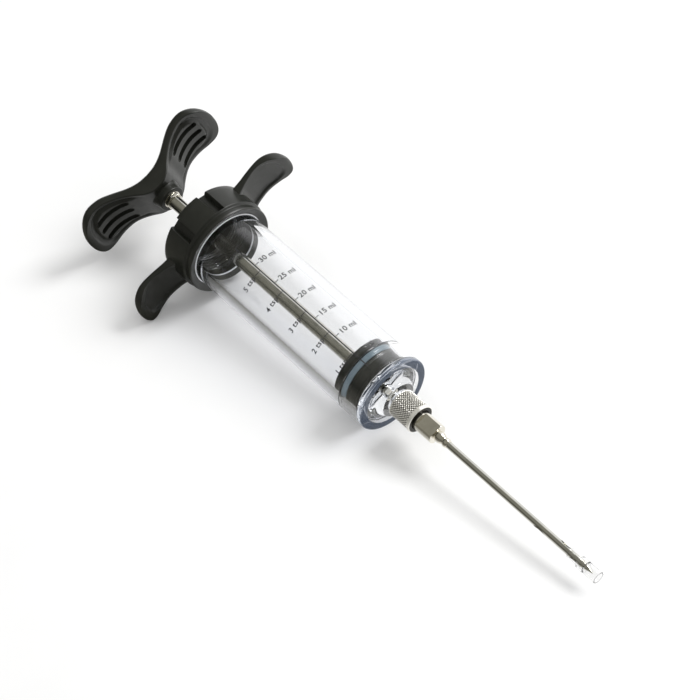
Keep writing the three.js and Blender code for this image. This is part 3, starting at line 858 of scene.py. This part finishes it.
def make_nut():
    corners = [
        (NUT_REAR, NUT_BORE_R, 0.1), (NUT_REAR, 5.2, 0.1), (NUT_REAR + 0.3, NUT_R, 0),
        (KNURL_FRONT, NUT_R, 0), (13.1, 5.42, 0.05), (13.25, 5.8, 0.1), (14.1, 5.8, 0.3),
        (NUT_FRONT, 5.45, 0.15), (NUT_FRONT, NUT_HOLE_R, 0.12), (NUT_WALL, NUT_HOLE_R, 0.1),
        (NUT_WALL, NUT_BORE_R, 0.1),
    ]
    nut = lathe("knurled_collar", corners, True, KNURLS * 10, 0.1, knurl, sharp=50)
    dress(nut, "nut", knurl_nickel, "nickel", "knurled_nut")


def hub_shape(x, r, t):
    """Two wrench flats milled on the round body."""
    flat = FLATS_HALF / np.maximum(np.abs(np.cos(t - FLATS_TURN)), 0.2)
    milled = (x > FLATS_REAR) & (x < HUB_FRONT + 0.01) & (r > 2.4)
    return np.where(milled, np.minimum(r, flat), r)


def hub_angles():
    """Angles round the hub, with lines on the edges of the flats."""
    half = math.acos(FLATS_HALF / HUB_R)
    edges = [FLATS_TURN + turn + side * half for turn in (0, math.pi) for side in (-1, 1)]

    def off_edges(angle):
        return all(abs(math.remainder(angle - edge, 2 * math.pi)) > 0.03 for edge in edges)

    even = [angle for angle in np.radians(np.arange(0, 360, 3)) if off_edges(angle)]
    return np.sort(np.array(even + edges) % (2 * math.pi))


def port_cutter(x, degrees):
    """An oval plug through the tube's wall, at x along the tube and turned round it from +Y."""
    plug = lathe("slot", [(-1, 0, 0), (-1, PORT_R, 0), (1, PORT_R, 0), (1, 0, 0)], turns=40)
    mesh = plug.data
    mesh.transform(Matrix.Translation((-RIM_X, 0, 0)))
    mesh.transform(Matrix.Rotation(math.pi / 2, 4, "Z"))
    mesh.transform(Matrix.Scale(PORT_STRETCH, 4, (1, 0, 0)))
    mesh.transform(Matrix.Translation((0, TUBE_R * MM, 0)))
    mesh.transform(Matrix.Rotation(math.radians(degrees), 4, "X"))
    mesh.transform(Matrix.Translation((RIM_X + x * MM, 0, 0)))
    return plug


def make_needle():
    """The hub with the tube, its closed point, and the washer behind the hub."""
    turns = np.linspace(math.pi * 0.70, math.pi * 0.24, 14)
    ball = [(BALL_X + BALL_R * math.cos(a), BALL_R * math.sin(a), 0) for a in turns]
    shoulder = HUB_FRONT + 0.02
    corners = [
        (HUB_REAR, 1.4, 0.1), (HUB_REAR, HUB_FLANGE_R, 0.2), (HUB_FLANGE_FRONT, HUB_FLANGE_R, 0.2),
        (HUB_FLANGE_FRONT, HUB_R, 0.1), (FLATS_REAR - 0.01, HUB_R, 0), (FLATS_REAR + 0.01, HUB_R, 0),
        (HUB_FRONT - 0.25, HUB_R, 0), (HUB_FRONT, HUB_R - 0.12, 0), (shoulder, 2.3, 0),
        (shoulder, 1.75, 0.1), (23.6, 2.0, 0.3), (24.2, 2.17, 0.5), (25.2, 2.15, 0.5), (26.1, 1.85, 0.4),
        (26.6, 1.55, 0.2), *ball, (29.2, 1.5, 0.1), (29.25, 1.4, 0.03),
    ]
    hub = lathe("hub_fitting", corners, True, 144, 0.2, hub_shape, sharp=34, angles=hub_angles())
    dress(hub, "needle", nickel, "nickel", "needle_hub")
    wall = [(TUBE_REAR, TUBE_BORE_R, 0), (TUBE_REAR, TUBE_R, 0.1), (TUBE_FRONT, TUBE_R, 0.05),
            (TUBE_FRONT, TUBE_BORE_R, 0)]
    tube = lathe("needle_pipe", wall, True, 64, 3)
    for x, degrees in PORTS:
        cut(tube, port_cutter(x, degrees))
    shade(tube, 34)
    dress(tube, "needle", steel, "steel", "needle_tube")
    plug_r, base = TUBE_BORE_R - FIT, TUBE_FRONT + FIT
    tip = [(base - 2.05, 0, 0), (base - 2.05, plug_r, 0.1), (base, plug_r, 0), (base, TUBE_R, 0.08),
           (97.2, 1.22, 0.8), (POINT_TIP - 0.2, 0.15, 0.1), (POINT_TIP, 0, 0)]
    dress(lathe("pencil_point", tip, turns=64), "needle", steel, "steel", "needle_point")
    seal = washer("nozzle_seal", NOZZLE_END + 0.1, HUB_REAR - 0.1, 1.5, 4.1, 0.2)
    dress(seal, "needle", rubber, "black_rubber", "nozzle_washer")


def guard_shape(x, r, t):
    """Shallow flutes down the guard's wide front half."""
    flute = 0.5 + 0.5 * np.cos(t * 8)
    fade = smoothstep(x, 96.2, 97.0) * (1 - smoothstep(x, 101.4, 102.0))
    return np.where(r > 2.2, r - 0.05 * fade * flute, r)


def make_guard():
    corners = [
        (GUARD_REAR, 1.5, 0.05), (GUARD_REAR, 1.85, 0.12), (93.9, 1.9, 0.05), (94.3, 2.3, 0.1),
        (97.4, 2.34, 0.05), (97.6, 2.24, 0.05), (GUARD_FRONT, 2.3, 0.12), (GUARD_FRONT, 1.95, 0.08),
        (97.6, 1.85, 0.1), (96.9, 1.5, 0.1),
    ]
    guard = lathe("clear_tip_guard", corners, True, 96, 0.3, guard_shape)
    dress(guard, "guard", guard_clear, "clear_plastic", "tip_guard")


def make_shoulder():
    """The barrel's thin moulded shoulder, painted near white: a painted highlight, which shows as a bright
    line at the cap's mouth.
    """
    ring = washer("barrel_shoulder", -92.9, -92.3, BARREL_R + 0.02, BARREL_R + 0.28, 0.1, turns=144)
    dress(ring, "barrel", shoulder_highlight, "clear_plastic")


make_barrel()
make_shoulder()
make_scale()
make_cap()
make_handle()
make_plunger()
make_piston()
make_nut()
make_needle()
make_guard()


# ---------------------------------------------------------------- floor, light and camera
RIM_TOUCH = Vector((RIM_X, 0, -(BARREL_R + 0.03) * MM))
SHADED_TABLE = (0.17, 0.165, 0.14)
DARK_SIDE = (0.035, 0.035, 0.025)
GREY_TOP = (0.27, 0.265, 0.23)
BRIGHT_SIDE = (1.0, 1.0, 1.0)
TENT = 0.82                         # strength of the plain white tent


def rest_slope():
    """Slope of a table that touches the front rim and the lowest point of the cap or handle."""
    steepest = 0.0
    for name in ("screw_cap_body", "palm_handle_body"):
        for vertex in bpy.data.objects[name].data.vertices:
            behind = RIM_TOUCH.x - vertex.co.x
            steepest = max(steepest, (RIM_TOUCH.z - vertex.co.z) / behind)
    return math.atan(steepest)


def make_floor():
    """A pale table; its near side is darker in reflections, as if in the camera's shade."""
    size = 6.0
    corners = [(-size, -size, 0), (size, -size, 0), (size, size, 0), (-size, size, 0)]
    mesh = bpy.data.meshes.new("table")
    mesh.from_pydata(corners, [], [(0, 1, 2, 3)])
    floor = bpy.data.objects.new("table", mesh)
    bpy.context.scene.collection.objects.link(floor)
    floor.location = RIM_TOUCH
    floor.rotation_euler = (0, -rest_slope(), 0)
    n = Nodes("pale_table")
    pale = n.ramp(n.noise(30, 2), [(0.3, (0.86, 0.86, 0.855)), (0.7, (0.875, 0.875, 0.87))])
    position = n.add("ShaderNodeNewGeometry").outputs["Position"]
    near_side = n.span(n.along(position, "Y"), -8 * MM, -28 * MM)
    glossy = n.add("ShaderNodeLightPath").outputs["Is Glossy Ray"]
    mix = n.add("ShaderNodeMix", data_type="RGBA")
    n.link(n.combine("MULTIPLY", near_side, glossy), mix.inputs[0])
    n.link(pale, mix.inputs[6])
    mix.inputs[7].default_value = (*SHADED_TABLE, 1)
    n.link(mix.outputs[2], n.shader.inputs["Base Color"])
    n.set(Roughness=0.9, Specular_IOR_Level=0.0)
    mesh.materials.append(n.material)


def make_world():
    """What polished metal reflects: darkness on the camera's side, grey overhead and white on the
    far side. Dull surfaces are lit by a plain white tent instead."""
    world = bpy.data.worlds.new("tent")
    bpy.context.scene.world = world
    world.use_nodes = True
    tree = world.node_tree
    back = tree.nodes["Background"]
    where = tree.nodes.new("ShaderNodeTexCoord").outputs["Generated"]

    def facing(direction, low, high):
        dot = tree.nodes.new("ShaderNodeVectorMath")
        dot.operation = "DOT_PRODUCT"
        dot.inputs[1].default_value = Vector(direction).normalized()
        tree.links.new(where, dot.inputs[0])
        span = tree.nodes.new("ShaderNodeMapRange")
        span.interpolation_type = "SMOOTHSTEP"
        span.inputs["From Min"].default_value = low
        span.inputs["From Max"].default_value = high
        tree.links.new(dot.outputs["Value"], span.inputs["Value"])
        return span.outputs["Result"]

    def blend(factor, base, colour):
        mix = tree.nodes.new("ShaderNodeMix")
        mix.data_type = "RGBA"
        tree.links.new(factor, mix.inputs[0])
        if hasattr(base, "is_linked"):
            tree.links.new(base, mix.inputs[6])
        else:
            mix.inputs[6].default_value = (*base, 1)
        mix.inputs[7].default_value = (*colour, 1)
        return mix.outputs[2]

    colour = blend(facing((0, -0.35, 0.95), 0.2, 0.95), DARK_SIDE, GREY_TOP)
    colour = blend(facing((0, 1, 0), 0.22, 0.5), colour, BRIGHT_SIDE)
    tree.links.new(colour, back.inputs["Color"])
    plain = tree.nodes.new("ShaderNodeBackground")
    plain.inputs["Color"].default_value = (1, 1, 1, 1)
    plain.inputs["Strength"].default_value = TENT
    path = tree.nodes.new("ShaderNodeLightPath")
    mix = tree.nodes.new("ShaderNodeMixShader")
    tree.links.new(path.outputs["Is Diffuse Ray"], mix.inputs["Fac"])
    tree.links.new(back.outputs["Background"], mix.inputs[1])
    tree.links.new(plain.outputs["Background"], mix.inputs[2])
    tree.links.new(mix.outputs["Shader"], tree.nodes["World Output"].inputs["Surface"])
    world.cycles.sampling_method = "NONE"


def make_lamp(name, direction, distance, size, watts):
    lamp = bpy.data.lights.new(name, "AREA")
    lamp.shape = "DISK"
    lamp.size = size
    lamp.energy = watts
    obj = bpy.data.objects.new(name, lamp)
    bpy.context.scene.collection.objects.link(obj)
    along = Vector(direction).normalized()
    obj.location = along * distance
    obj.rotation_mode = "QUATERNION"
    obj.rotation_quaternion = along.to_track_quat("Z", "Y")


def make_camera():
    """Seen from above the needle's right side, with a long lens."""
    right = Vector((0.65517, 0.75461, 0.03643)).normalized()
    ahead = Vector((-0.48303, 0.45549, -0.74780)).normalized()
    up = right.cross(ahead).normalized()
    ahead = up.cross(right)
    camera = bpy.data.cameras.new("camera")
    camera.sensor_width = 36
    camera.lens = 123.5
    camera.clip_start = 0.05
    camera.clip_end = 50
    obj = bpy.data.objects.new("camera", camera)
    bpy.context.scene.collection.objects.link(obj)
    spot = Vector((RIM_X + 391.04 * MM, -390.96 * MM, 645.56 * MM))
    turn = Matrix((right, up, -ahead)).transposed().to_4x4()
    obj.matrix_world = Matrix.Translation(spot) @ turn
    bpy.context.scene.camera = obj


make_floor()
make_world()
make_lamp("key_softbox", (0.15, 1.0, 1.25), 1.1, 0.5, 7.2)
make_camera()

scene = bpy.context.scene
scene.view_settings.view_transform = "Standard"
scene.view_settings.look = "None"
scene.cycles.max_bounces = 20
scene.cycles.transmission_bounces = 18
scene.cycles.glossy_bounces = 8
scene.cycles.transparent_max_bounces = 16
